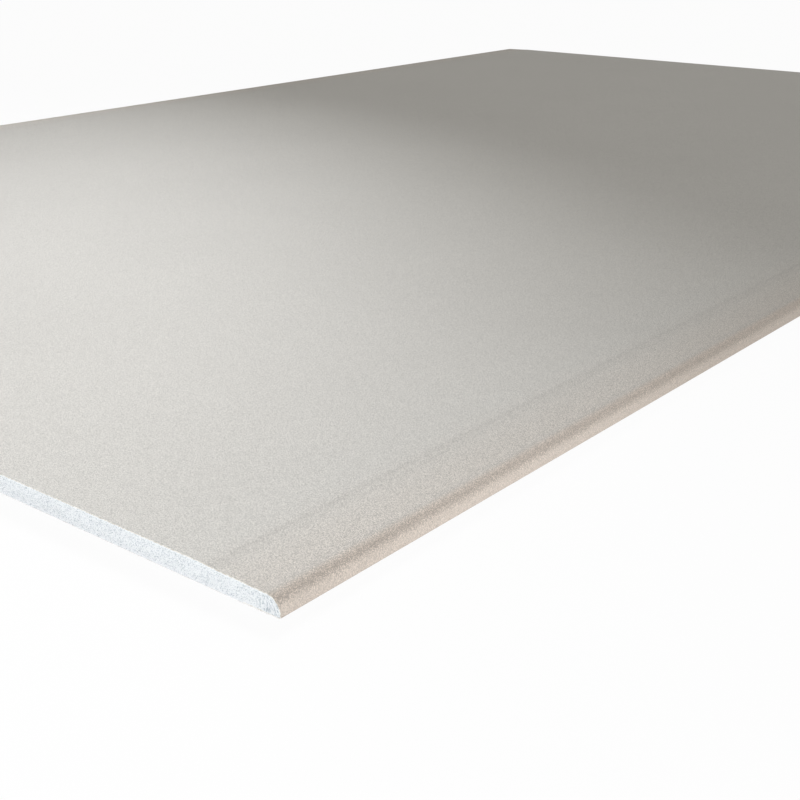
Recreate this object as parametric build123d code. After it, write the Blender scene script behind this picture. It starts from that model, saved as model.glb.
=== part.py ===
"""Drywall sheet: a gypsum core in paper, with tapered half-round long edges and square-cut ends.

The sheet lies flat with its face up. Width runs along X, length along Y, and the origin is the
middle of the back. One section across the width is drawn for each piece and drawn out along Y.
Lengths are in millimetres.
"""
import os

from build123d import *

# Whole sheet
sheet_length = 2000.0
sheet_width = 1250.0
sheet_thickness = 12.5

# Taper of the face along each long edge
taper_width = 51.5        # from the long edge to the top corner of the shoulder
taper_depth = 1.5         # fall of the face, carried on to the long edge
shoulder_run = 4.2        # short steeper step at the inner end of the taper
shoulder_drop = 0.45      # fall of the face over that step
shoulder_top_radius = 48.0   # soft bend from the face into the step
shoulder_foot_radius = 5.0   # sharper bend, the visible crease, from the step into the taper

# Long edge below the taper
upright_height = 0.3      # upright strip between the half-round and the fold
fold_radius = 1.0         # bend where the paper turns under the sheet

# Papers
face_paper_thickness = 0.4
back_paper_thickness = 0.4
flap_width = 25.0         # face paper under the sheet, measured from the long edge
back_paper_inset = 9.0    # bare margin of flap outside the back paper's edge

# The flaps lie on the back paper, and the half-round takes the height that is left at the edge
flap_bottom = back_paper_thickness
edge_radius = sheet_thickness - taper_depth - upright_height - fold_radius - flap_bottom


def board_section():
    """Section inside the outer surface of the face paper, flaps included."""
    edge_x = sheet_width / 2
    shoulder_x = edge_x - taper_width
    right_side = [
        (edge_x, flap_bottom),
        (edge_x, sheet_thickness - taper_depth),
        (shoulder_x + shoulder_run, sheet_thickness - shoulder_drop),
        (shoulder_x, sheet_thickness),
    ]
    right_radii = [fold_radius, edge_radius, shoulder_foot_radius, shoulder_top_radius]
    left_side = [(-x, z) for x, z in reversed(right_side)]
    left_radii = right_radii[::-1]
    outline = FilletPolyline(*right_side, *left_side, radius=right_radii + left_radii, close=True)
    return make_face(outline)


def strip_section(width, thickness, bottom):
    """Section of a flat strip, centred across the sheet, that starts at a height."""
    return Pos(Y=bottom) * Rectangle(width, thickness, align=(Align.CENTER, Align.MIN))


def face_paper_section(board):
    """An even wall inside the outer surface, open under the back between the two flaps."""
    wall = board - offset(board, -face_paper_thickness)
    open_width = sheet_width - 2 * flap_width
    return wall - strip_section(open_width, face_paper_thickness, flap_bottom)


def back_paper_section():
    """A flat sheet that laps the flaps and stops short of the long edges."""
    return strip_section(sheet_width - 2 * back_paper_inset, back_paper_thickness, 0)


def drawn_out(section):
    """Solid with this section over the sheet's whole length."""
    return extrude(Plane.XZ * section, amount=sheet_length / 2, both=True)


board = board_section()
face_paper = face_paper_section(board)
sections = {
    "gypsum_core": board - face_paper,
    "face_paper": face_paper,
    "back_paper": back_paper_section(),
}

os.makedirs("parts", exist_ok=True)
for node, section in sections.items():
    export_step(drawn_out(section), f"parts/{node}.step")
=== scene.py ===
"""Looks of a drywall sheet: grey paper over tapered half-round edges, porous gypsum at the cut ends.

Everything is in metres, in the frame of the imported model: width along X, length along Y, the face
up along Z, and the origin in the middle of the back. The two papers and the core are drawn from
one section across the sheet, carried along its length.
"""
import logging
import math
from dataclasses import dataclass
from enum import Enum
from typing import Any

import bpy
import numpy as np
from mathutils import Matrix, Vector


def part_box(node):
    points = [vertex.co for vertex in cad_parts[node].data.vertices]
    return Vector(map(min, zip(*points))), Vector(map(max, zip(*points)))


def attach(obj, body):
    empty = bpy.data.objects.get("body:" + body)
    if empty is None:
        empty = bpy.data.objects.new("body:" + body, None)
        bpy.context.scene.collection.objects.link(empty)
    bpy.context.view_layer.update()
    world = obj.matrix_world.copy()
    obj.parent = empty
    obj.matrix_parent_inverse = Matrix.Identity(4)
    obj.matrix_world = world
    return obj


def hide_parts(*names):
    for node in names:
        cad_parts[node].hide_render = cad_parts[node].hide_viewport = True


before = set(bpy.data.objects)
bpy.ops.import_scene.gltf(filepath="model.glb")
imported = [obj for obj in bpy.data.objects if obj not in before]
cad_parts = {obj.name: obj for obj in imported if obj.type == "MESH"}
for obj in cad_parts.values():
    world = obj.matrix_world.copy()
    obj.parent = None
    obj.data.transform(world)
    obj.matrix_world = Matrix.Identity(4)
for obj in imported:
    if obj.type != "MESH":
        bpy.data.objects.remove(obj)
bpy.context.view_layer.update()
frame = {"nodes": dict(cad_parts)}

log = logging.getLogger("drywall_sheet")

Array = np.ndarray
Range = tuple[float, float]
Colour = tuple[float, float, float]
Vector3 = tuple[float, float, float]
Piece = bpy.types.Object
Socket = bpy.types.NodeSocket

MM = 0.001
TINY = 1e-9
BODY = "root"
# Odd factors and shifts that stir whole numbers into random ones
STIR_I, STIR_J, STIR_SEED = 374761393, 668265263, 2246822519
STIR_ROUNDS = ((13, 1274126177), (16, 2654435761))
STIR_LAST = 15
# Layers of a rough noise, and the smallest and largest radius of a pit in cells
OCTAVES = 4
PIT_RADII = (0.25, 0.70)
# What moves a seed: the direction of an end times the first, and the others for noises at one end
PAPER_END_SEED, FIBRE_SEED = 10, 5
CORE_END_SEED, PIT_SEED, GROOVE_SEED = 20, 5, 11
# Middle of every noise, and of the paper's tone
MIDDLE = 0.5
# Turn of the noise about X, Y and Z, so that no flat surface lies along its lattice
SKEW = (0.61, 0.43, 0.27)
# Colour sockets of a Mix node
MIX_FIRST, MIX_SECOND, MIX_RESULT = 6, 7, 2
# Kinds of ray that show the background itself
SEEN_RAYS = ("Is Camera Ray", "Is Glossy Ray", "Is Transmission Ray")
WHITE = (1.0, 1.0, 1.0, 1.0)


class SheetEnd(Enum):
    """The two cut ends, as the direction of each along Y."""

    NEAR = -1
    FAR = 1


class LampKind(Enum):
    """Kinds of lamp in the studio."""

    SPOT = "SPOT"
    AREA = "AREA"


# Numbers on a lattice


@dataclass(frozen=True)
class Lattice:
    """Random numbers at the points of a square lattice, read at places between them.

    Attributes:
        u: Places along the first direction, in lattice steps.
        v: Places along the second direction.
        seed: Number that picks one of many unlike lattices.
    """

    u: Array
    v: Array
    seed: int

    def point(self, right: int, up: int, more: int = 0) -> Array:
        """Random number from 0 to 1 of a lattice point near each place.

        The two whole numbers of the point and the seed are multiplied by large odd numbers, added,
        and stirred by shifting and multiplying again, all in 32 bits.

        Args:
            right: Steps along the first direction, from the point at or below the place.
            up: Steps along the second direction.
            more: What is added to the seed.

        Returns:
            An array of the same shape as the places.
        """
        places = np.floor(self.u) + right, np.floor(self.v) + up
        i, j = (place.astype(np.int64).astype(np.uint32) for place in places)
        mixed = i * np.uint32(STIR_I) + j * np.uint32(STIR_J)
        mixed = mixed + np.uint32((self.seed + more) * STIR_SEED % 2**32)
        for shift, factor in STIR_ROUNDS:
            mixed = (mixed ^ (mixed >> np.uint32(shift))) * np.uint32(factor)
        mixed = mixed ^ (mixed >> np.uint32(STIR_LAST))
        return mixed.astype(np.float64) / 2**32

    def smooth(self) -> Array:
        """Blend the numbers of the four points around each place.

        Returns:
            Noise from 0 to 1.
        """
        a, b = (t * t * (3 - 2 * t) for t in (self.u - np.floor(self.u), self.v - np.floor(self.v)))
        low, high = (self.point(0, up) * (1 - a) + self.point(1, up) * a for up in (0, 1))
        return low * (1 - b) + high * b

    def rough(self) -> Array:
        """Add smooth noise at doubling fineness and halving weight.

        Returns:
            Noise scaled back to 0 to 1.
        """
        weights = 0.5 ** np.arange(OCTAVES)
        finer = (Lattice(self.u * 2**k, self.v * 2**k, self.seed + k) for k in range(OCTAVES))
        return sum(w * layer.smooth() for w, layer in zip(weights, finer)) / weights.sum()

    def pits(self, share: float) -> Array:
        """Round pits, one at a random place in some of the lattice cells.

        A pit is a bowl, the root of one less the squared distance over its radius, and where pits
        of neighbouring cells meet the deeper one counts. Small pits are the more common ones.

        Args:
            share: Share of the cells that hold a pit.

        Returns:
            Depth from 0 to 1.
        """
        least, most = PIT_RADII
        depth = np.zeros_like(self.u)
        for right, up in ((i - 1, j - 1) for i, j in np.ndindex(3, 3)):
            across, along, large, chance = (self.point(right, up, more) for more in range(4))
            radius = least + (most - least) * large**2
            away_u = self.u - (np.floor(self.u) + right + across)
            away_v = self.v - (np.floor(self.v) + up + along)
            bowl = radius * np.sqrt(np.clip(1 - (away_u**2 + away_v**2) / radius**2, 0, None))
            depth = np.maximum(depth, bowl * (chance < share))
        return depth / most


# Section across the sheet


def straight(start: Array, stop: Array, pitch: float) -> Array:
    """Even points from a start up to, but without, a stop, at most a pitch apart."""
    steps = max(1, math.ceil(np.linalg.norm(stop - start) / pitch))
    return start + np.linspace(0, 1, steps, endpoint=False)[:, None] * (stop - start)


def mirrored(half: Array) -> Array:
    """A whole line from its right half, whose first point lies in the middle."""
    return np.vstack([half[:0:-1] * np.array([-1.0, 1.0]), half])


@dataclass(frozen=True)
class EdgeSection:
    """Right half of the section across the sheet, on the outer surface of the face paper.

    From the middle of the face it runs level, falls over a short shoulder, falls gently along the
    taper, turns down round the half-round, drops along a short upright strip, turns under at the
    fold and comes back in beneath the sheet as far as the flap's edge.

    Attributes:
        half_width: From the middle to the long edge.
        face_height: Height of the level face.
        flap_height: Height of the flap's under side.
        paper: Thickness of the face paper.
        taper_width: From the long edge to the shoulder's top corner.
        taper_depth: Fall of the face, carried on to the long edge.
        shoulder_run: Width of the steeper step inside the taper.
        shoulder_drop: Fall of the face over that step.
        shoulder_top_radius: Soft bend into the step.
        shoulder_foot_radius: Sharper bend out of it.
        upright_height: Height of the upright strip.
        fold_radius: Bend where the paper turns under.
        flap_width: Width of the paper under the sheet.
        flow_inset: From the long edge to the point that the core's flow fans out from.
        flow_height: Height of that point.
        flow_reach: Distance from the long edge within which the flow shows.
        flow_full: Distance within which it is strongest.
        arc_turn: Largest turn between two points of an arc.
        arc_pitch: Largest distance between them.
        arc_least: Least number of steps along an arc.
    """

    half_width: float
    face_height: float
    flap_height: float
    paper: float
    taper_width: float = 51.5 * MM
    taper_depth: float = 1.5 * MM
    shoulder_run: float = 4.2 * MM
    shoulder_drop: float = 0.45 * MM
    shoulder_top_radius: float = 48.0 * MM
    shoulder_foot_radius: float = 5.0 * MM
    upright_height: float = 0.3 * MM
    fold_radius: float = 1.0 * MM
    flap_width: float = 25.0 * MM
    flow_inset: float = 10.5 * MM
    flow_height: float = 13.0 * MM
    flow_reach: float = 20.0 * MM
    flow_full: float = 6.0 * MM
    arc_turn: float = math.radians(10.0)
    arc_pitch: float = 0.5 * MM
    arc_least: int = 3

    @property
    def edge_radius(self) -> float:
        """Radius of the half-round, from the height that the other parts of the edge leave."""
        used = self.taper_depth + self.upright_height + self.fold_radius + self.flap_height
        return self.face_height - used

    def half_outline(self, pitch: float) -> tuple[Array, Array]:
        """Points along the right half and the outward direction at each.

        Each corner of a run of straight lines is replaced by an arc that touches both lines: it
        starts and ends at the radius times the tangent of half the turn from the corner.

        Args:
            pitch: Largest distance between points on the straight lines.

        Returns:
            Points and unit normals, as rows of X and Z, from the middle of the face to the flap's edge.
        """
        edge, shoulder = self.half_width, self.half_width - self.taper_width
        corners = np.array(
            [
                (0.0, self.face_height),
                (shoulder, self.face_height),
                (shoulder + self.shoulder_run, self.face_height - self.shoulder_drop),
                (edge, self.face_height - self.taper_depth),
                (edge, self.flap_height),
                (edge - self.flap_width, self.flap_height),
            ]
        )
        radii = (self.shoulder_top_radius, self.shoulder_foot_radius, self.edge_radius, self.fold_radius)
        runs = np.diff(corners, axis=0)
        heading = np.unwrap(np.arctan2(runs[:, 1], runs[:, 0]))
        along = np.c_[np.cos(heading), np.sin(heading)]
        points, headings, start = [], [], corners[0]
        for k, radius in enumerate(radii):
            turn = heading[k + 1] - heading[k]
            cut = radius * math.tan(abs(turn) / 2)
            stop = corners[k + 1] - along[k] * cut
            run = straight(start, stop, pitch)
            needed = max(abs(turn) / self.arc_turn, radius * abs(turn) / self.arc_pitch)
            arc_steps = max(self.arc_least, math.ceil(needed))
            angle = heading[k] + np.linspace(0, 1, arc_steps, endpoint=False) * turn
            side = math.copysign(radius, turn)
            centre = stop + side * np.array([-along[k, 1], along[k, 0]])
            points += [run, centre + side * np.c_[np.sin(angle), -np.cos(angle)]]
            headings += [np.full(len(run), heading[k]), angle]
            start = corners[k + 1] + along[k + 1] * cut
        run = straight(start, corners[-1], pitch)
        points += [run, corners[-1:]]
        headings.append(np.full(len(run) + 1, heading[-1]))
        angle = np.concatenate(headings)
        return np.vstack(points), np.c_[-np.sin(angle), np.cos(angle)]

    def outline(self, pitch: float) -> tuple[Array, Array]:
        """Outer line of the face paper from flap to flap, and the inner line one thickness inside."""
        points, normals = (mirrored(half) for half in self.half_outline(pitch))
        return points, points - self.paper * normals


# Shader nodes


class Value:
    """A number that varies over a surface. Python's operators on it add Math nodes."""

    def __init__(self, tree: "Tree", socket: Socket) -> None:
        """Wrap an output socket of a node tree."""
        self.tree = tree
        self.socket = socket

    def math(self, operation: str, *others: "Value | float") -> "Value":
        """Add a Math node with this value first."""
        return self.tree.math(operation, self, *others)

    def __add__(self, other: "Value | float") -> "Value":
        """Sum."""
        return self.math("ADD", other)

    __radd__ = __add__

    def __sub__(self, other: "Value | float") -> "Value":
        """Difference."""
        return self.math("SUBTRACT", other)

    def __rsub__(self, other: float) -> "Value":
        """Difference from a plain number."""
        return self.tree.math("SUBTRACT", other, self)

    def __mul__(self, other: "Value | float") -> "Value":
        """Product."""
        return self.math("MULTIPLY", other)

    __rmul__ = __mul__

    def __truediv__(self, other: "Value | float") -> "Value":
        """Quotient."""
        return self.math("DIVIDE", other)

    def __abs__(self) -> "Value":
        """Size without sign."""
        return self.math("ABSOLUTE")

    def ramp(self, none: float, full: float) -> "Value":
        """Rise smoothly from 0 at one value to 1 at another, which may be the lower one.

        Args:
            none: Where the ramp is 0.
            full: Where the ramp is 1.

        Returns:
            The ramp.
        """
        rising = float(full > none)
        inputs = {
            "Value": self,
            "From Min": min(none, full),
            "From Max": max(none, full),
            "To Min": 1.0 - rising,
            "To Max": rising,
        }
        node = self.tree.node("ShaderNodeMapRange", {"interpolation_type": "SMOOTHSTEP"}, inputs)
        return Value(self.tree, node.outputs[0])


@dataclass(frozen=True)
class Speckle:
    """One layer of noise in a finish.

    Attributes:
        size: Size of its largest features.
        gain: Strength in the finish.
        detail: Number of finer layers.
        rough: Strength of each finer layer against the one before.
        bend: How far its coordinates are distorted.
    """

    size: float
    gain: float = 1.0
    detail: float = 2.0
    rough: float = 0.5
    bend: float = 0.0

    def swing(self, noise: Value) -> Value:
        """The noise about zero, times the gain."""
        return (noise - MIDDLE) * self.gain


class Tree:
    """Node tree of one material or of the world."""

    def __init__(self, owner: bpy.types.Material | bpy.types.World) -> None:
        """Start with an empty tree."""
        owner.use_nodes = True
        self.tree = owner.node_tree
        self.tree.nodes.clear()

    def node(self, kind: str, settings: dict[str, Any], inputs: dict[int | str, Any]) -> bpy.types.Node:
        """Add a node, set it up and fill its sockets.

        Args:
            kind: Blender's name for the kind of node.
            settings: Properties of the node, which are set first.
            inputs: Socket number or name to a plain value, a Value or an output socket.

        Returns:
            The new node.
        """
        made = self.tree.nodes.new(kind)
        for name, setting in settings.items():
            setattr(made, name, setting)
        for key, content in inputs.items():
            source = content.socket if isinstance(content, Value) else content
            if isinstance(source, Socket):
                self.tree.links.new(source, made.inputs[key])
            else:
                made.inputs[key].default_value = source
        return made

    def math(self, operation: str, *operands: Value | float) -> Value:
        """Add a Math node whose sockets take the operands in order."""
        made = self.node("ShaderNodeMath", {"operation": operation}, dict(enumerate(operands)))
        return Value(self, made.outputs[0])

    def place(self) -> tuple[Socket, Value, Value, Value]:
        """Object coordinates.

        Returns:
            The coordinates whole, and X, Y and Z.
        """
        where = self.node("ShaderNodeTexCoord", {}, {}).outputs["Object"]
        x, y, z = self.node("ShaderNodeSeparateXYZ", {}, {0: where}).outputs
        return where, Value(self, x), Value(self, y), Value(self, z)

    def attribute(self, name: str) -> Value:
        """A number that the mesh holds at each vertex."""
        made = self.node("ShaderNodeAttribute", {"attribute_name": name}, {})
        return Value(self, made.outputs["Fac"])

    def mapped(self, where: Socket, **change: Vector3) -> Socket:
        """Coordinates with the Rotation or Scale of a Mapping node."""
        return self.node("ShaderNodeMapping", {}, {"Vector": where, **change}).outputs[0]

    def noise(self, where: Socket, look: Speckle) -> Value:
        """Noise from 0 to 1.

        Args:
            where: Coordinates, in the unit of the speckle's size.
            look: Size and character of the noise.

        Returns:
            The noise, without the speckle's gain.
        """
        inputs = {
            "Vector": where,
            "Scale": 1 / look.size,
            "Detail": look.detail,
            "Roughness": look.rough,
            "Distortion": look.bend,
        }
        return Value(self, self.node("ShaderNodeTexNoise", {}, inputs).outputs[0])

    def cells(self, where: Socket, size: float) -> tuple[Value, Value]:
        """Cells of about a size.

        Args:
            where: Coordinates.
            size: Size of the cells.

        Returns:
            Distance from the middle of a cell in cell sizes, and a random number for each cell.
        """
        made = self.node("ShaderNodeTexVoronoi", {}, {"Vector": where, "Scale": 1 / size})
        parts = self.node("ShaderNodeSeparateColor", {}, {0: made.outputs["Color"]})
        return Value(self, made.outputs["Distance"]), Value(self, parts.outputs[0])

    def mix(self, share: Value, first: Socket | Colour, second: Socket | Colour) -> Socket:
        """Blend from one colour to another.

        Args:
            share: Share of the second colour.
            first: Colour socket, or red, green and blue.
            second: Colour socket, or red, green and blue.

        Returns:
            The blended colour.
        """
        colours = [(*c, 1.0) if isinstance(c, tuple) else c for c in (first, second)]
        inputs = {0: share, MIX_FIRST: colours[0], MIX_SECOND: colours[1]}
        made = self.node("ShaderNodeMix", {"data_type": "RGBA", "clamp_factor": True}, inputs)
        return made.outputs[MIX_RESULT]

    def output(self, kind: str, shader: bpy.types.Node) -> None:
        """Send a shader to an output node of a kind."""
        self.node(kind, {}, {"Surface": shader.outputs[0]})

    def white_to_camera(self, lit: bpy.types.Node, white: str, share: float, output: str) -> None:
        """Show white to the camera, a mirror or glass, and another shader to the rays that light things.

        Args:
            lit: The other shader.
            white: Kind of shader node that is plain white at a strength of 1.
            share: Share of white in what the camera sees.
            output: Kind of output node.
        """
        path = self.node("ShaderNodeLightPath", {}, {}).outputs
        camera, mirror, glass = (Value(self, path[name]) for name in SEEN_RAYS)
        seen = camera.math("MAXIMUM", mirror.math("MAXIMUM", glass)) * share
        plain = self.node(white, {}, {"Color": WHITE, "Strength": 1.0})
        shaders = {0: seen, 1: lit.outputs[0], 2: plain.outputs[0]}
        self.output(output, self.node("ShaderNodeMixShader", {}, shaders))


# Finishes


def shaded(colour: Colour, by: float) -> Colour:
    """The same colour, lighter or darker by a factor."""
    return tuple(min(1.0, part * by) for part in colour)


@dataclass(frozen=True, kw_only=True)
class MattFinish:
    """A matt surface with a fine relief. Each kind of finish says how it is painted.

    Attributes:
        name: Name of the material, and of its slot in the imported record.
        roughness: Roughness of the surface.
        gloss: Strength of its faint shine.
        bump_height: Height of the relief.
        bump_strength: How much of the relief shows.
    """

    name: str
    roughness: float
    gloss: float
    bump_height: float
    bump_strength: float

    def paint(self, tree: Tree) -> tuple[Socket, Value]:
        """Colour, and height of the relief from 0 to 1."""
        raise NotImplementedError

    def material(self) -> bpy.types.Material:
        """Build the material: one shader that takes the finish's colour and relief.

        Returns:
            The new material.
        """
        made = bpy.data.materials.new(self.name)
        tree = Tree(made)
        colour, height = self.paint(tree)
        relief = {"Strength": self.bump_strength, "Distance": self.bump_height, "Height": height}
        inputs = {
            "Base Color": colour,
            "Roughness": self.roughness,
            "Specular IOR Level": self.gloss,
            "Normal": tree.node("ShaderNodeBump", {}, relief).outputs[0],
        }
        tree.output("ShaderNodeOutputMaterial", tree.node("ShaderNodeBsdfPrincipled", {}, inputs))
        return made


@dataclass(frozen=True)
class PaintedShadeLine:
    """A faint darker line along the sheet: painted shade over the taper's shoulder and slopes and the
    bend.

    Attributes:
        place: Distance from the long edge.
        half_width: Distance from its middle to where it has faded out.
        dark: Part of the paper's shade range that it darkens by.
    """

    place: float
    half_width: float
    dark: float


@dataclass(frozen=True, kw_only=True)
class PaperFinish(MattFinish):
    """Matt recycled paper: a fine fibre grain, cloudy tone, dark flecks and a pale cut edge.

    A range runs from where something begins to where it is whole.

    Attributes:
        tone: Colour of the flat paper.
        edge_tone: Colour where it is stretched round the long edges.
        cut_tone: Colour of the cut edge.
        dust_tone: Colour of the gypsum dust on the cut edge.
        half_width: From the middle of the sheet to a long edge.
        half_length: From the middle of the sheet to a cut end.
        lines: Lines of painted shade along the tapers and the long edges.
        grain: Fine grain.
        fibres: Fibres, as wide as their size.
        blots: Blots of tone.
        clouds: Soft clouds of tone.
        bands: Broad bands of tone.
        dust: Patches of dust.
        fibre_stretch: Scale of the fibres' coordinates, smaller along the sheet, where they lie.
        grain_share: Share of the grain in the relief, whose rest is the fibres.
        shade_range: How much darker and lighter than its tone the paper gets.
        fleck_cell: Distance between dark flecks.
        fleck_reach: Range of a fleck's distance from its middle, in cells.
        fleck_chance: Range of the cells' random numbers for a fleck.
        fleck_gain: Strength of the flecks.
        fleck_shade: Brightness of a fleck against the edge colour.
        taper_warm: Range, from the long edge, of the edge colour over the taper.
        warm_share: How much of the edge colour that is.
        edge_warm: Range, from the long edge, of the rest of it.
        coarse: Range, from the long edge, of a stronger grain.
        coarse_gain: How much stronger it gets.
        calm_share: How much of the grain is left at the long edge, where the paper is smooth.
        bend: Range, from the long edge, of the painted shade where the paper turns over the half-round.
        bend_shade_end: Where that darkness ends.
        bend_shade_dark: Part of the shade range that it darkens by.
        rim_width: Width of the darker strip along a cut end.
        rim_dark: Part of the shade range that it darkens by.
        cut_reach: Range, from a cut end, of the cut edge's colour.
        dust_limits: Range of the noise for dust.
        dust_height: Height below which more dust has settled.
        dust_low: What that adds to the noise at the floor.
    """

    roughness: float = 0.88
    gloss: float = 0.2
    bump_height: float = 0.1 * MM
    bump_strength: float = 0.35
    tone: Colour
    edge_tone: Colour
    cut_tone: Colour
    dust_tone: Colour
    half_width: float
    half_length: float
    lines: tuple[PaintedShadeLine, ...] = ()
    grain: Speckle = Speckle(0.65 * MM, gain=2.6, detail=1.0, rough=0.8)
    fibres: Speckle = Speckle(0.9 * MM, gain=0.22, bend=0.6)
    blots: Speckle = Speckle(1.6 * MM, gain=0.24, detail=1.0, rough=0.7)
    clouds: Speckle = Speckle(9.0 * MM, gain=0.10, detail=3.0)
    bands: Speckle = Speckle(180.0 * MM, gain=0.10)
    dust: Speckle = Speckle(2.0 * MM, rough=0.6)
    fibre_stretch: Vector3 = (1.6, 0.45, 1.6)
    grain_share: float = 0.6
    shade_range: float = 0.30
    fleck_cell: float = 7.0 * MM
    fleck_reach: Range = (0.5 / 7, 0.3 / 7)
    fleck_chance: Range = (0.35, 0.40)
    fleck_gain: float = 0.45
    fleck_shade: float = 0.35
    taper_warm: Range = (70.0 * MM, 11.0 * MM)
    warm_share: float = 0.34
    edge_warm: Range = (11.0 * MM, 5.0 * MM)
    coarse: Range = (75.0 * MM, 8.0 * MM)
    coarse_gain: float = 0.45
    calm_share: float = 0.5
    # Painted shade where the paper turns over the half-round
    bend: Range = (0.75 * MM, 3.0 * MM)
    bend_shade_end: float = 7.0 * MM
    bend_shade_dark: float = 0.26
    rim_width: float = 2.2 * MM
    rim_dark: float = 0.09
    cut_reach: Range = (0.3 * MM, 0.18 * MM)
    dust_limits: Range = (0.45, 0.54)
    dust_height: float = 2.0 * MM
    dust_low: float = 0.0

    def paint(self, tree: Tree) -> tuple[Socket, Value]:
        """Lay the colours over each other.

        One tone blends a dark into a light shade of the paper. The edge colour comes in with
        nearness to the long edge, weakly over the taper and wholly on the half-round. Flecks lie on
        that, and the cut edge's colour takes over at the cut ends.

        Args:
            tree: Node tree of the material.

        Returns:
            Colour, and height of the relief from 0 to 1.
        """
        plain, x, y, z = tree.place()
        where = tree.mapped(plain, Rotation=SKEW)
        from_edge, from_cut = self.half_width - abs(x), self.half_length - abs(y)
        grain = tree.noise(where, self.grain)
        fibre = tree.noise(tree.mapped(plain, Scale=self.fibre_stretch), self.fibres)
        # Painted shade over the bend and along the lines darkens the tone, and a darker strip runs along
        # each cut
        tone = self.mottle(tree, where, grain, fibre, from_edge) - self.painted_shade_and_rim(from_edge, from_cut)
        dark, light = 1 - self.shade_range, 1 + self.shade_range
        flat, edge = (
            tree.mix(tone, shaded(paper, dark), shaded(paper, light))
            for paper in (self.tone, self.edge_tone)
        )
        warm = from_edge.ramp(*self.taper_warm) * self.warm_share
        warm = warm + from_edge.ramp(*self.edge_warm) * (1 - self.warm_share)
        colour = tree.mix(warm, flat, edge)
        colour = tree.mix(self.flecks(tree, where), colour, shaded(self.edge_tone, self.fleck_shade))
        colour = tree.mix(from_cut.ramp(*self.cut_reach), colour, self.cut(tree, where, z))
        return colour, grain * self.grain_share + fibre * (1 - self.grain_share)

    def mottle(self, tree: Tree, where: Socket, grain: Value, fibre: Value, from_edge: Value) -> Value:
        """Tone of the paper by its grain, fibres, blots and clouds, about the middle.

        Args:
            tree: Node tree of the material.
            where: Coordinates.
            grain: Noise of the grain.
            fibre: Noise of the fibres.
            from_edge: Distance from the long edge.

        Returns:
            The tone.
        """
        blots, clouds, bands = (
            look.swing(tree.noise(where, look)) for look in (self.blots, self.clouds, self.bands)
        )
        coarse = 1 + from_edge.ramp(*self.coarse) * self.coarse_gain
        calm = self.calm_share + from_edge.ramp(0.0, self.bend[1]) * (1 - self.calm_share)
        fine = self.grain.swing(grain) + self.fibres.swing(fibre) + blots
        return MIDDLE + fine * coarse * calm + (clouds + bands)

    def painted_shade_and_rim(self, from_edge: Value, from_cut: Value) -> Value:
        """How much darker the paper is: painted shade over the bend and along the lines, and a darker
        strip along a cut.

        Args:
            from_edge: Distance from the long edge.
            from_cut: Distance from the cut end.

        Returns:
            The part of the tone to take away.
        """
        # Painted shade over the bend of the long edge
        bend_shade = from_edge.ramp(*self.bend) * from_edge.ramp(self.bend_shade_end, self.bend[1])
        darker_rim = from_cut.ramp(self.rim_width, self.cut_reach[0])
        worn = bend_shade * self.bend_shade_dark + darker_rim * self.rim_dark
        # Each line adds painted shade along the sheet
        for line in self.lines:
            worn = worn + abs(from_edge - line.place).ramp(line.half_width, 0.0) * line.dark
        return worn

    def flecks(self, tree: Tree, where: Socket) -> Value:
        """How much of the flecks' colour shows, one fleck in the middle of some of the cells."""
        distance, number = tree.cells(where, self.fleck_cell)
        return distance.ramp(*self.fleck_reach) * number.ramp(*self.fleck_chance) * self.fleck_gain

    def cut(self, tree: Tree, where: Socket, z: Value) -> Socket:
        """Colour of the cut edge, with dust in patches and more of it near the floor."""
        dust = tree.noise(where, self.dust) + z.ramp(self.dust_height, 0.0) * self.dust_low
        return tree.mix(dust.ramp(*self.dust_limits), self.cut_tone, self.dust_tone)


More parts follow.
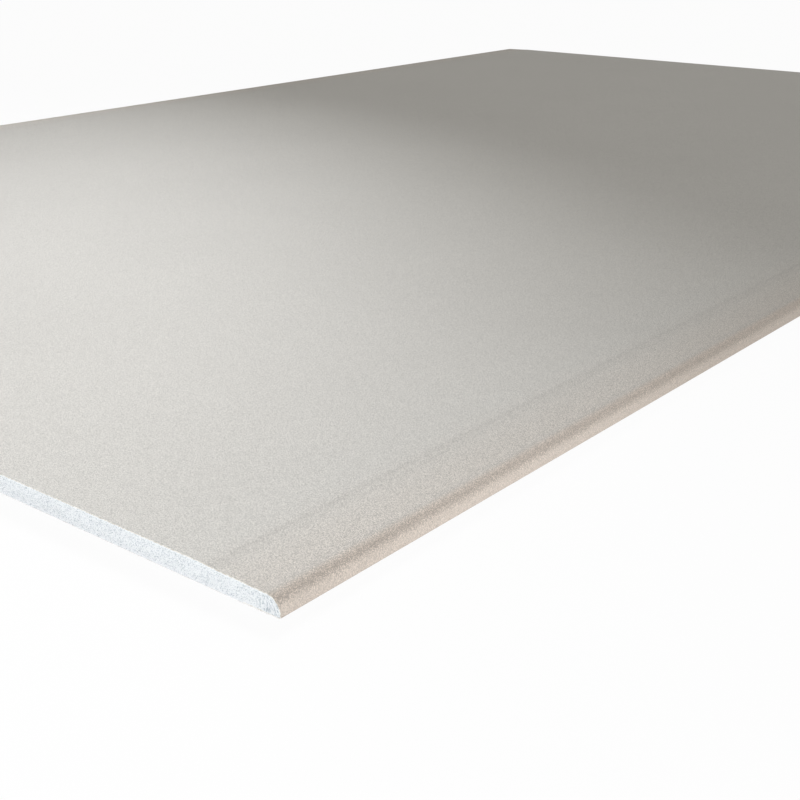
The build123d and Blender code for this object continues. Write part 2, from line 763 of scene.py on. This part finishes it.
@dataclass(frozen=True, kw_only=True)
class GypsumFinish(MattFinish):
    """Bluish white gypsum: grey in its pores, with painted shade in its modelled pits and grooves,
    chalky between them.

    A range runs from where something begins to where it is whole.

    Attributes:
        tone: Colour of the chalky surface.
        pore_and_pit_shade_tone: Colour in the pores, and of the painted shade in the pits.
        section: Section across the sheet, with the point that the flow fans out from.
        pore_size: Size of the cells that hold one pore at most.
        pore_reach: Range of a pore's distance from its middle, in cells.
        pore_chance: Range of the cells' random numbers for a pore.
        pore_gain: Strength of the pores.
        pore_deep: Depth of the pores, as a part of the relief.
        specks: Specks between the pores.
        speck_limits: Range of their noise.
        speck_deep: Depth of specks and streaks, as a part of the relief.
        streaks: Flow streaks, in steps of their own width and length.
        streak_turn: Width of a streak, as an angle about the point that they fan out from.
        streak_long: Length of a streak.
        streak_limits: Range of their noise.
        pit_shade_limits: Range of the mesh's hollow share for the painted shade in a pit.
        pit_shade_gain: Strength of that painted shade.
        dense_share: How much of the dark is left in the dense gypsum at the papers.
        flow_share: How much of the pores is left where the flow is strongest.
    """

    roughness: float = 0.95
    gloss: float = 0.15
    bump_height: float = 0.15 * MM
    bump_strength: float = 0.5
    tone: Colour
    pore_and_pit_shade_tone: Colour
    section: EdgeSection
    pore_size: float = 0.75 * MM
    pore_reach: Range = (0.50, 0.30)
    pore_chance: Range = (0.25, 0.75)
    pore_gain: float = 0.86
    pore_deep: float = 0.6
    specks: Speckle = Speckle(0.40 * MM, gain=0.56, detail=1.0, rough=0.7)
    speck_limits: Range = (0.46, 0.64)
    speck_deep: float = 0.2
    streaks: Speckle = Speckle(1.0, gain=0.85, detail=0.5)
    streak_turn: float = 0.065
    streak_long: float = 3.0 * MM
    streak_limits: Range = (0.52, 0.61)
    # Painted shade in the modelled pits and grooves
    pit_shade_limits: Range = (0.2, 0.9)
    pit_shade_gain: float = 0.12
    dense_share: float = 0.65
    flow_share: float = 0.6

    def paint(self, tree: Tree) -> tuple[Socket, Value]:
        """Darken the pits, pores, specks and streaks.

        The mesh's own hollow attribute paints shade into the pits and grooves that are modelled, darker
        where they are deeper, and cells of noise add the pores that are too small for the mesh.

        Args:
            tree: Node tree of the material.

        Returns:
            Colour, and height of the relief from 0 to 1.
        """
        plain, x, _, z = tree.place()
        where = tree.mapped(plain, Rotation=SKEW)
        from_edge = self.section.half_width - abs(x)
        near_edge = from_edge.ramp(self.section.flow_reach, self.section.flow_full)
        loose = 1 - tree.attribute("dense") * (1 - self.dense_share)
        porous = 1 - near_edge * (1 - self.flow_share)
        distance, number = tree.cells(where, self.pore_size)
        pores = distance.ramp(*self.pore_reach) * number.ramp(*self.pore_chance)
        specks = tree.noise(where, self.specks).ramp(*self.speck_limits)
        streaks = self.fan(tree, x, z, from_edge) * near_edge
        # Painted shade in the modelled pits and grooves, darker the deeper they are
        pits = tree.attribute("hollow").ramp(*self.pit_shade_limits)
        dark = (pores * self.pore_gain + specks * self.specks.gain) * porous
        dark = (dark + pits * self.pit_shade_gain + streaks * self.streaks.gain) * loose
        colour = tree.mix(dark, self.tone, self.pore_and_pit_shade_tone)
        return colour, 1 - pores * self.pore_deep - (specks + streaks) * self.speck_deep

    def fan(self, tree: Tree, x: Value, z: Value, from_edge: Value) -> Value:
        """Streaks that fan out from a point above the half-round.

        Noise is read at the angle about that point and the distance from it, so that its blots
        are drawn out along the lines of the fan.

        Args:
            tree: Node tree of the material.
            x: Places across the sheet.
            z: Heights.
            from_edge: Distance from the long edge.

        Returns:
            The streaks, from 0 to 1.
        """
        out, down = self.section.flow_inset - from_edge, self.section.flow_height - z
        radius = (out * out + down * down).math("SQRT")
        angle = out.math("ARCTAN2", down)
        polar = {0: angle / self.streak_turn, 1: radius / self.streak_long, 2: x.math("SIGN")}
        where = tree.node("ShaderNodeCombineXYZ", {}, polar).outputs[0]
        return tree.noise(where, self.streaks).ramp(*self.streak_limits)


@dataclass(frozen=True)
class FloorFinish:
    """White floor that looks white to the camera and still keeps the sheet's shadow.

    Attributes:
        name: Name of the material.
        paint: Share of light that the floor sends back.
        glow: Share of plain white in what the camera sees.
    """

    name: str = "studio_floor"
    paint: float = 0.9
    glow: float = 0.955

    def material(self) -> bpy.types.Material:
        """Build the material.

        Returns:
            The new material.
        """
        made = bpy.data.materials.new(self.name)
        tree = Tree(made)
        matt = tree.node("ShaderNodeBsdfDiffuse", {}, {"Color": (*[self.paint] * 3, 1.0)})
        tree.white_to_camera(matt, "ShaderNodeEmission", self.glow, "ShaderNodeOutputMaterial")
        return made


# Meshes


def make_piece(name: str, vertices: Array, quads: Array, sharp: float = 40.0) -> Piece:
    """Put a mesh of four-sided faces into the scene, smooth but for its sharp edges.

    Args:
        name: Name of the piece.
        vertices: Rows of X, Y and Z.
        quads: Rows of four vertex numbers, counter-clockwise from outside.
        sharp: Angle between faces, in degrees, above which an edge stays sharp.

    Returns:
        The new object, at the origin.
    """
    mesh = bpy.data.meshes.new(name)
    mesh.vertices.add(len(vertices))
    mesh.vertices.foreach_set("co", vertices.astype(np.float32).ravel())
    mesh.loops.add(quads.size)
    mesh.loops.foreach_set("vertex_index", quads.astype(np.int32).ravel())
    mesh.polygons.add(len(quads))
    mesh.polygons.foreach_set("loop_start", np.arange(0, quads.size, 4, dtype=np.int32))
    mesh.update(calc_edges=True)
    mesh.shade_smooth()
    mesh.set_sharp_from_angle(angle=math.radians(sharp))
    piece = bpy.data.objects.new(name, mesh)
    bpy.context.scene.collection.objects.link(piece)
    return piece


def grid_quads(columns: int, rows: int, closed: bool = False) -> Array:
    """Faces of a grid whose vertices are numbered column first along each row.

    Args:
        columns: Vertices along a row.
        rows: Number of rows.
        closed: Whether the last column joins the first.

    Returns:
        Rows of four vertex numbers.
    """
    left = np.arange(columns if closed else columns - 1)[None, :]
    right = (left + 1) % columns
    low = np.arange(rows - 1)[:, None] * columns
    high = low + columns
    return np.stack([low + left, low + right, high + right, high + left], -1).reshape(-1, 4)


def settle(piece: Piece, node: str, finish: MattFinish) -> Piece:
    """Dress a piece and let it stand for a node of the frame.

    Args:
        piece: The new piece.
        node: Node that it replaces.
        finish: Its finish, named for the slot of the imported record.

    Returns:
        The same piece.
    """
    piece.data.materials.append(finish.material())
    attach(piece, BODY)
    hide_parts(node)
    return piece


@dataclass
class PaperSheet:
    """A sheet of paper as a closed skin between two lines, carried along the sheet's length.

    Attributes:
        node: Node that the piece replaces.
        outer: Line of the side that faces out, as rows of X and Z.
        inner: Line of the other side, point for point.
        length: Length of the sheet.
        seed: Number that picks the notches.
        fray: How far the cut edge is worn back at most.
        lift: How far loose fibres stand off the paper at the cut at most.
        fray_step: Width of the coarsest notches in the cut edge.
        side_step: How far apart the notches of the two sides are in their noise.
        end_rows: Distances from a cut end of the rows of vertices near it.
        middle_rows: Number of even rows from the last of those to its like at the other end.
    """

    node: str
    outer: Array
    inner: Array
    length: float
    seed: int
    fray: float = 0.30 * MM
    lift: float = 0.06 * MM
    fray_step: float = 2.2 * MM
    side_step: float = 0.35
    end_rows: tuple[float, ...] = (0.0, 0.8 * MM, 3.0 * MM, 20.0 * MM)
    middle_rows: int = 9

    def rows(self) -> Array:
        """Places of the rows of vertices along Y, close together near the two cut ends.

        Returns:
            The places.
        """
        near = np.array(self.end_rows) - self.length / 2
        middle = np.linspace(near[-1], -near[-1], self.middle_rows)[1:-1]
        return np.concatenate([near, middle, -near[::-1]])

    def vertices(self) -> Array:
        """Carry the closed line along the rows, with notches worn into the first and last.

        A notch's depth is the square of a rough noise over the line's own length, so that most of
        the edge is nearly straight and a few places are torn. Fibres stand off by the cube of
        another such noise.

        Returns:
            Vertices as rows of X, Y and Z, one closed line after another.
        """
        line = np.vstack([self.outer, self.inner[::-1]])
        steps = np.linalg.norm(np.diff(self.outer, axis=0), axis=1)
        run = np.concatenate([[0.0], np.cumsum(steps)]) / self.fray_step
        run = np.concatenate([run, run[::-1]])
        side = np.repeat([0.0, self.side_step], len(self.outer))
        toward = np.vstack([self.outer - self.inner, (self.outer - self.inner)[::-1]])
        toward /= np.linalg.norm(toward, axis=1, keepdims=True)
        along = self.rows()
        y = np.repeat(along[:, None], len(line), axis=1)
        across = np.repeat(line[None], len(along), axis=0)
        for end, row in ((SheetEnd.NEAR, 0), (SheetEnd.FAR, -1)):
            seed = self.seed + end.value * PAPER_END_SEED
            worn = Lattice(run, side, seed).rough() ** 2
            loose = Lattice(run, np.zeros_like(run), seed + FIBRE_SEED).rough() ** 3
            y[row] -= end.value * self.fray * worn
            across[row] += self.lift * loose[:, None] * toward
        return np.stack([across[..., 0], y, across[..., 1]], -1).reshape(-1, 3)

    def quads(self) -> Array:
        """Faces along the length, and a strip between the two lines at each cut end.

        Returns:
            Rows of four vertex numbers.
        """
        around, count = 2 * len(self.outer), len(self.rows())
        sides = grid_quads(around, count, closed=True)
        i = np.arange(len(self.outer) - 1)
        strip = np.stack([i, around - 1 - i, around - 2 - i, i + 1], -1)
        return np.vstack([sides, strip, strip[:, ::-1] + around * (count - 1)])

    def build(self, finish: PaperFinish) -> Piece:
        """Make the piece, dress it and let it stand for its node."""
        piece = make_piece(self.node + "_sheet", self.vertices(), self.quads())
        return settle(piece, self.node, finish)


@dataclass
class GypsumCore:
    """The cast core: plain under the papers, rough and pitted on its two cut ends.

    Attributes:
        section: Section across the sheet.
        length: Length of the sheet.
        pitch: Distance between columns of the grid across a cut end.
        layers: Number of rows of that grid through the thickness.
        recess: How far the cut gypsum lies behind the paper's edge at least.
        roughness: Height of the sawn surface's unevenness.
        uneven_size: Width of its coarsest bumps.
        pit_size: Width of the cells that hold one pit at most.
        pit_share: Share of those cells that hold one.
        pit_deep: Depth of the deepest pits.
        groove_turn: Angle between the flow lines, about the point that they fan out from.
        groove_long: Length of a flow line.
        groove_deep: Depth of a flow line.
        groove_gain: How steeply the noise of the flow lines falls into them.
        skin: Depth of the denser gypsum under the papers.
        seed: Number that picks the unevenness.
        sharp: Angle between faces, in degrees, above which an edge stays sharp.
    """

    section: EdgeSection
    length: float
    pitch: float = 0.56 * MM
    layers: int = 21
    recess: float = 0.05 * MM
    roughness: float = 0.06 * MM
    uneven_size: float = 3.0 * MM
    pit_size: float = 1.2 * MM
    pit_share: float = 0.55
    pit_deep: float = 0.34 * MM
    groove_turn: float = 0.11
    groove_long: float = 4.0 * MM
    groove_deep: float = 0.06 * MM
    groove_gain: float = 2.2
    skin: float = 1.1 * MM
    seed: int = 40
    sharp: float = 55.0

    def lines(self) -> tuple[Array, Array]:
        """Top line of the core and, point for point, its bottom line.

        The top line is the paper's inner line from fold to fold. Below the level and tapered part
        each bottom point is straight under its top point, and below the half-round the bottom
        points draw in evenly towards the fold, so that the columns fan out. The core stands one
        paper thickness lower between the flaps than on them, and the two columns at that step meet
        at the bottom and stand apart at the top.

        Returns:
            Top and bottom points, each as rows of X and Z.
        """
        part = self.section
        points, normals = part.half_outline(self.pitch)
        inner = points - part.paper * normals
        fold_start = int(np.argmax(inner[:, 1] < part.flap_height + part.fold_radius + TINY))
        top = inner[: fold_start + 1]
        step = part.half_width - part.flap_width
        after = int(np.argmax(top[:, 0] > step))
        beside = top[after - 1 : after + 1]
        apart = np.abs(beside[:, 0] - step).min() / 2
        pair_x = np.array([step - apart, step + apart])
        pair = np.c_[pair_x, np.interp(pair_x, beside[:, 0], beside[:, 1])]
        top = np.vstack([top[:after], pair, top[after:]])
        x = top[:, 0].copy()
        x[after : after + 2] = step
        round_start = int(np.argmax(x > part.half_width - part.edge_radius))
        fold_end = part.half_width - part.fold_radius
        x[round_start:] = np.linspace(x[round_start], fold_end, len(x) - round_start)
        z = part.flap_height + part.paper * (np.arange(len(x)) > after)
        return mirrored(top), mirrored(np.c_[x, z])

    def relief(self, x: Array, z: Array, dense: Array, end: SheetEnd) -> tuple[Array, Array]:
        """How far the cut surface lies back, and how much of that is pits and grooves.

        Rough noise gives the sawn unevenness and round pits are the cast air bubbles. Near a long
        edge, noise over the angle about a point above the half-round gives grooves that fan out,
        at full depth within half of the flow's reach.

        Args:
            x: Places across the sheet.
            z: Heights.
            dense: How dense the gypsum is, from 0 inside to 1 at the papers.
            end: Which cut end it is.

        Returns:
            Depth in metres, and the hollow share of it from 0 to 1.
        """
        part, seed = self.section, self.seed + end.value * CORE_END_SEED
        uneven = Lattice(x / self.uneven_size, z / self.uneven_size, seed).rough()
        pits = Lattice(x / self.pit_size, z / self.pit_size, seed + PIT_SEED).pits(self.pit_share)
        pits = pits * (1 - dense)
        from_edge = part.half_width - np.abs(x)
        near_edge = np.clip(2 - 2 * from_edge / part.flow_reach, 0, 1)
        out, down = part.flow_inset - from_edge, part.flow_height - z
        angle = np.arctan2(out, down) / self.groove_turn
        radius = np.hypot(out, down) / self.groove_long
        lines = Lattice(angle, radius + np.sign(x), seed + GROOVE_SEED).smooth()
        grooves = np.clip((lines - MIDDLE) * self.groove_gain, 0, 1) * near_edge
        depth = self.recess + self.roughness * uneven
        depth = depth + np.maximum(self.pit_deep * pits, self.groove_deep * grooves)
        return depth, np.maximum(pits, grooves)

    def build(self, finish: GypsumFinish) -> Piece:
        """Make the core: a pitted grid at each end, and walls that join their rims.

        A grid point lies at an even share of the way from the bottom line to the top line, moved
        back along Y by the relief. The gypsum is dense within a skin's depth of either line.

        Args:
            finish: Finish of the gypsum.

        Returns:
            The new object, with the hollow share and the density as vertex attributes.
        """
        top, bottom = self.lines()
        share = np.linspace(0, 1, self.layers)[:, None, None]
        grid = bottom + share * (top - bottom)
        columns, count = len(top), self.layers * len(top)
        from_paper = np.minimum(share, 1 - share)[..., 0] * np.linalg.norm(top - bottom, axis=1)
        dense = np.clip(1 - from_paper / self.skin, 0, 1)
        ends, hollows = [], []
        for end in SheetEnd:
            depth, hollow = self.relief(grid[..., 0], grid[..., 1], dense, end)
            y = end.value * (self.length / 2 - depth)
            ends.append(np.stack([grid[..., 0], y, grid[..., 1]], -1).reshape(-1, 3))
            hollows.append(hollow.ravel())
        number = np.arange(count).reshape(self.layers, columns)
        rim = np.concatenate([number[0, :-1], number[:-1, -1], number[-1, :0:-1], number[:0:-1, 0]])
        following = np.roll(rim, -1)
        walls = np.stack([rim, rim + count, following + count, following], -1)
        cap = grid_quads(columns, self.layers)
        quads = np.vstack([cap, cap[:, ::-1] + count, walls])
        piece = make_piece("gypsum_core_cast", np.vstack(ends), quads, self.sharp)
        for name, values in (("hollow", hollows), ("dense", [dense.ravel()] * len(ends))):
            layer = piece.data.attributes.new(name, "FLOAT", "POINT")
            layer.data.foreach_set("value", np.concatenate(values).astype(np.float32))
        return settle(piece, "gypsum_core", finish)


# Studio


@dataclass(frozen=True)
class Lamp:
    """One lamp, aimed at a point.

    Attributes:
        name: Name of the lamp.
        kind: Spot or area lamp.
        place: Where it hangs, from the near right corner of the sheet.
        aim: Point that it looks at, from that corner.
        power: Power in watts.
        size: Radius of a spot's bulb, or width of an area lamp.
        height: Height of an area lamp.
        cone: Full opening angle of a spot, in degrees.
        soft: Share of a spot's cone over which its light fades.
    """

    name: str
    kind: LampKind
    place: Vector3
    aim: Vector3
    power: float
    size: float
    height: float = 0.3
    cone: float = 30.0
    soft: float = 1.0

    def build(self, corner: Vector3, colour: Colour) -> None:
        """Hang the lamp, unseen by the camera.

        Args:
            corner: Near right corner of the sheet.
            colour: Colour of the light.
        """
        data = bpy.data.lights.new(self.name, self.kind.value)
        data.energy = self.power
        data.color = colour
        if self.kind is LampKind.SPOT:
            data.shadow_soft_size = self.size
            data.spot_size = math.radians(self.cone)
            data.spot_blend = self.soft
        else:
            data.shape = "RECTANGLE"
            data.size, data.size_y = self.size, self.height
        lamp = bpy.data.objects.new(self.name, data)
        bpy.context.scene.collection.objects.link(lamp)
        lamp.location = np.add(corner, self.place)
        x, y, z = np.subtract(self.aim, self.place)
        lamp.rotation_euler = (math.atan2(math.hypot(x, y), -z), 0.0, math.atan2(-x, y))
        lamp.visible_camera = False


@dataclass
class Studio:
    """Floor, light and camera round the sheet.

    Lamps and camera are placed from the near right corner of the sheet, which the camera looks
    down on: the key lamp at the left, and three weak ones low in front and at the right.

    Attributes:
        corner: Near right corner of the sheet, on the floor.
        camera_offset: Camera from that corner.
        yaw: Turn of the camera to the left of +Y, in degrees.
        pitch: Tilt of the camera below level, in degrees.
        lens: Focal length for a sensor 36 mm wide.
        clip: Nearest and farthest distance that the camera sees.
        sky: Brightness of the even light from all round.
        sky_colour: Colour of that light, a little warm.
        lamp_colour: Colour of the lamps, a little cool.
        lamps: The lamps.
        floor_size: Width and length of the floor.
    """

    corner: Vector3
    camera_offset: Vector3 = (0.373, -0.3726, 0.3152)
    yaw: float = 38.96
    pitch: float = 21.31
    lens: float = 57.99
    clip: Range = (0.01, 100.0)
    sky: float = 0.40
    sky_colour: Colour = (1.015, 1.0, 0.965)
    lamp_colour: Colour = (0.985, 1.0, 1.03)
    lamps: tuple[Lamp, ...] = (
        Lamp(
            "key", LampKind.SPOT, (-3.02, 2.63, 1.89), (-0.28, -0.19, 0.0), 2360.0, 0.56,
            cone=11.70, soft=0.70,
        ),
        Lamp("fill", LampKind.AREA, (1.6, -1.3, 0.24), (0.0, 0.2, 0.0), 27.8, 1.4),
        Lamp("front", LampKind.AREA, (-1.6, -2.2, 0.12), (-0.6, 0.0, 0.0), 17.2, 1.2, height=0.2),
        Lamp("edge", LampKind.SPOT, (2.0, 0.2, 0.25), (0.0, 0.2, 0.0), 26.0, 0.1, cone=12.8),
    )
    floor_size: float = 60.0

    def light(self) -> None:
        """Hang the lamps, and set an even sky that looks white itself."""
        for lamp in self.lamps:
            lamp.build(self.corner, self.lamp_colour)
        world = bpy.data.worlds.new("studio_sky")
        bpy.context.scene.world = world
        tree = Tree(world)
        inputs = {"Color": (*self.sky_colour, 1.0), "Strength": self.sky}
        even = tree.node("ShaderNodeBackground", {}, inputs)
        tree.white_to_camera(even, "ShaderNodeBackground", 1.0, "ShaderNodeOutputWorld")

    def floor(self) -> None:
        """Lay a level floor under the sheet."""
        corners = np.array([(-1, -1, 0), (1, -1, 0), (1, 1, 0), (-1, 1, 0)]) * self.floor_size / 2
        piece = make_piece("studio_floor", corners, np.array([[0, 1, 2, 3]]))
        piece.data.materials.append(FloorFinish().material())

    def camera(self) -> None:
        """Set up the camera at the place and angle of the photograph."""
        data = bpy.data.cameras.new("camera")
        data.lens = self.lens
        data.clip_start, data.clip_end = self.clip
        camera = bpy.data.objects.new("camera", data)
        bpy.context.scene.collection.objects.link(camera)
        camera.location = np.add(self.corner, self.camera_offset)
        camera.rotation_euler = (math.radians(90.0 - self.pitch), 0.0, math.radians(self.yaw))
        bpy.context.scene.camera = camera


# Assembly


@dataclass
class DrywallSheet:
    """The whole sheet: core, face paper and back paper, sized from the frame.

    Attributes:
        pitch: Distance between points across the papers.
    """

    pitch: float = 1.0 * MM

    def __post_init__(self) -> None:
        """Read the sizes of the three pieces from the frame."""
        face_low, face_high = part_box("face_paper")
        back_low, back_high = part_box("back_paper")
        core_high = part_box("gypsum_core")[1]
        self.length = face_high.y - face_low.y
        self.back_half_width = back_high.x
        self.back_thickness = back_high.z - back_low.z
        self.section = EdgeSection(
            half_width=face_high.x,
            face_height=face_high.z,
            flap_height=face_low.z,
            paper=face_high.x - core_high.x,
        )

    def core(self) -> Piece:
        """Build and dress the core.

        Returns:
            The new piece.
        """
        finish = GypsumFinish(
            name="gypsum",
            tone=(0.902, 0.924, 0.933),
            pore_and_pit_shade_tone=(0.43, 0.475, 0.515),
            section=self.section,
        )
        return GypsumCore(self.section, self.length).build(finish)

    def face_paper(self) -> Piece:
        """Build and dress the paper over the face and round the long edges.

        Returns:
            The new piece.
        """
        finish = PaperFinish(
            name="face_paper",
            tone=(0.637, 0.620, 0.584),
            edge_tone=(0.660, 0.585, 0.517),
            cut_tone=(0.62, 0.57, 0.49),
            dust_tone=(0.89, 0.872, 0.822),
            dust_low=0.12,
            half_width=self.section.half_width,
            half_length=self.length / 2,
            # Painted shade along the taper's shoulder, over the taper and at the bend of the long edge
            lines=(
                PaintedShadeLine(place=48.4 * MM, half_width=3.6 * MM, dark=0.095),
                PaintedShadeLine(place=42.8 * MM, half_width=2.2 * MM, dark=0.05),
                PaintedShadeLine(place=45.5 * MM, half_width=11.0 * MM, dark=0.03),
                PaintedShadeLine(place=14.0 * MM, half_width=30.0 * MM, dark=0.018),
                PaintedShadeLine(place=8.5 * MM, half_width=6.5 * MM, dark=0.10),
            ),
        )
        outer, inner = self.section.outline(self.pitch)
        return PaperSheet("face_paper", outer, inner, self.length, seed=110).build(finish)

    def back_paper(self) -> Piece:
        """Build and dress the flat paper on the back.

        Returns:
            The new piece.
        """
        finish = PaperFinish(
            name="back_paper",
            tone=(0.46, 0.42, 0.37),
            edge_tone=(0.46, 0.42, 0.37),
            cut_tone=(0.755, 0.742, 0.725),
            dust_tone=(0.87, 0.87, 0.87),
            half_width=self.section.half_width,
            half_length=self.length / 2,
        )
        count = math.ceil(2 * self.back_half_width / self.pitch)
        x = np.linspace(self.back_half_width, -self.back_half_width, count + 1)
        outer, inner = (np.c_[x, np.full(len(x), z)] for z in (0.0, self.back_thickness))
        return PaperSheet("back_paper", outer, inner, self.length, seed=170, lift=0.0).build(finish)

    def build(self) -> list[Piece]:
        """Build every piece, from the inside out."""
        return [self.core(), self.face_paper(), self.back_paper()]


def main() -> None:
    """Build the sheet, then the studio round it."""
    logging.basicConfig(level=logging.INFO, format="%(name)s: %(message)s")
    log.info("frame: %s", ", ".join(frame["nodes"]))
    bpy.context.scene.view_settings.view_transform = "Standard"
    sheet = DrywallSheet()
    for piece in sheet.build():
        log.info("%s: %d faces", piece.name, len(piece.data.polygons))
    studio = Studio(corner=(sheet.section.half_width, -sheet.length / 2, 0.0))
    studio.light()
    studio.floor()
    studio.camera()


if __name__ == "__main__":
    main()
